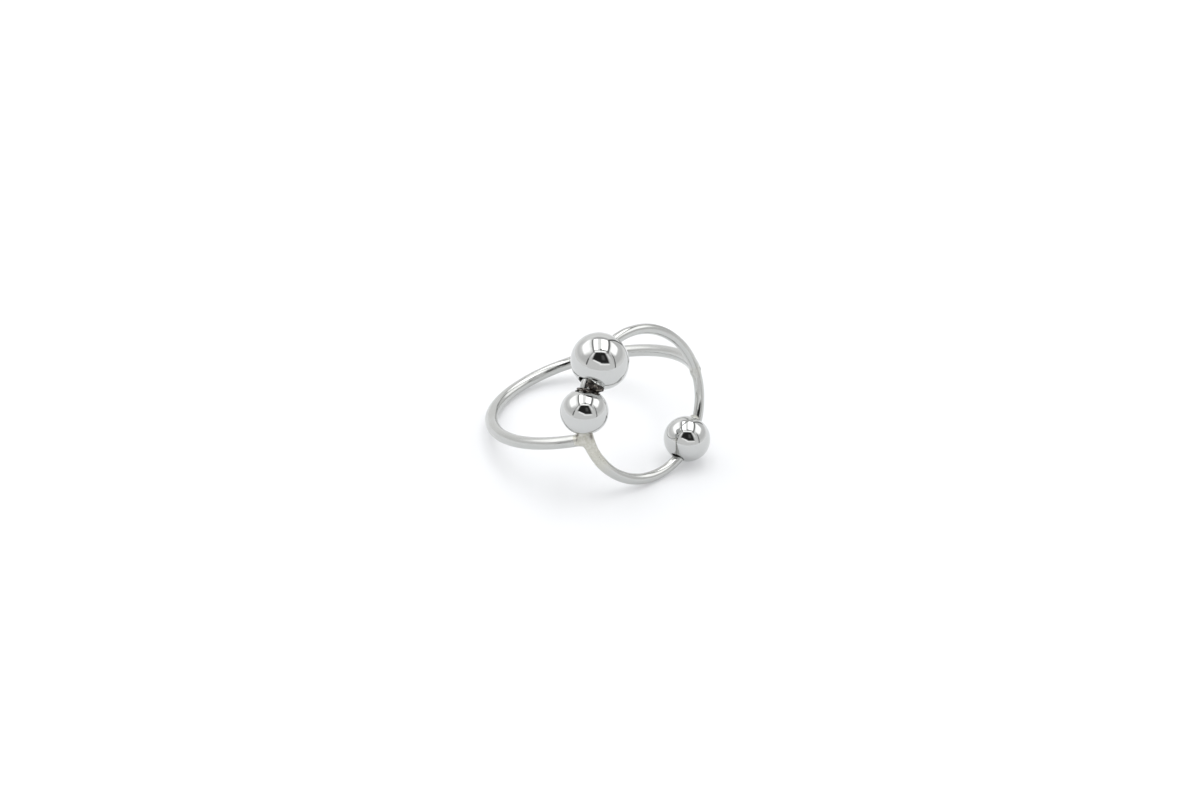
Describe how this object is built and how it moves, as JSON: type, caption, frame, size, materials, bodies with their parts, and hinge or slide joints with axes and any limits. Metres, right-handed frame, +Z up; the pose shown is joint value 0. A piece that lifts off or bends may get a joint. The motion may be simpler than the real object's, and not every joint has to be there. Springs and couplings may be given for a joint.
{
  "type": "finger ring",
  "caption": "Finger ring of polished silver wire: an oval band open at the front, its ends joined to an upright open hoop that carries hollow round beads.",
  "frame": {"origin": "middle of the bottom of the whole ring's box, on the surface that it lies on", "axes": "+Z up; +X from the joint beside the two upper beads to the other joint; -Y is the side of the hoop and +Y the back of the band, which lies on the surface"},
  "size_m": [0.0188, 0.0203, 0.0142],
  "materials": {
    "silver_wire": "polished silver wire, with dark rough solder between two beads",
    "silver_bead": "mirror-polished silver"
  },
  "bodies": {
    "root": {"band_and_hoop": "silver_wire", "large_bead": "silver_bead", "medium_bead": "silver_bead", "small_bead": "silver_bead"}
  },
  "joints": []
}
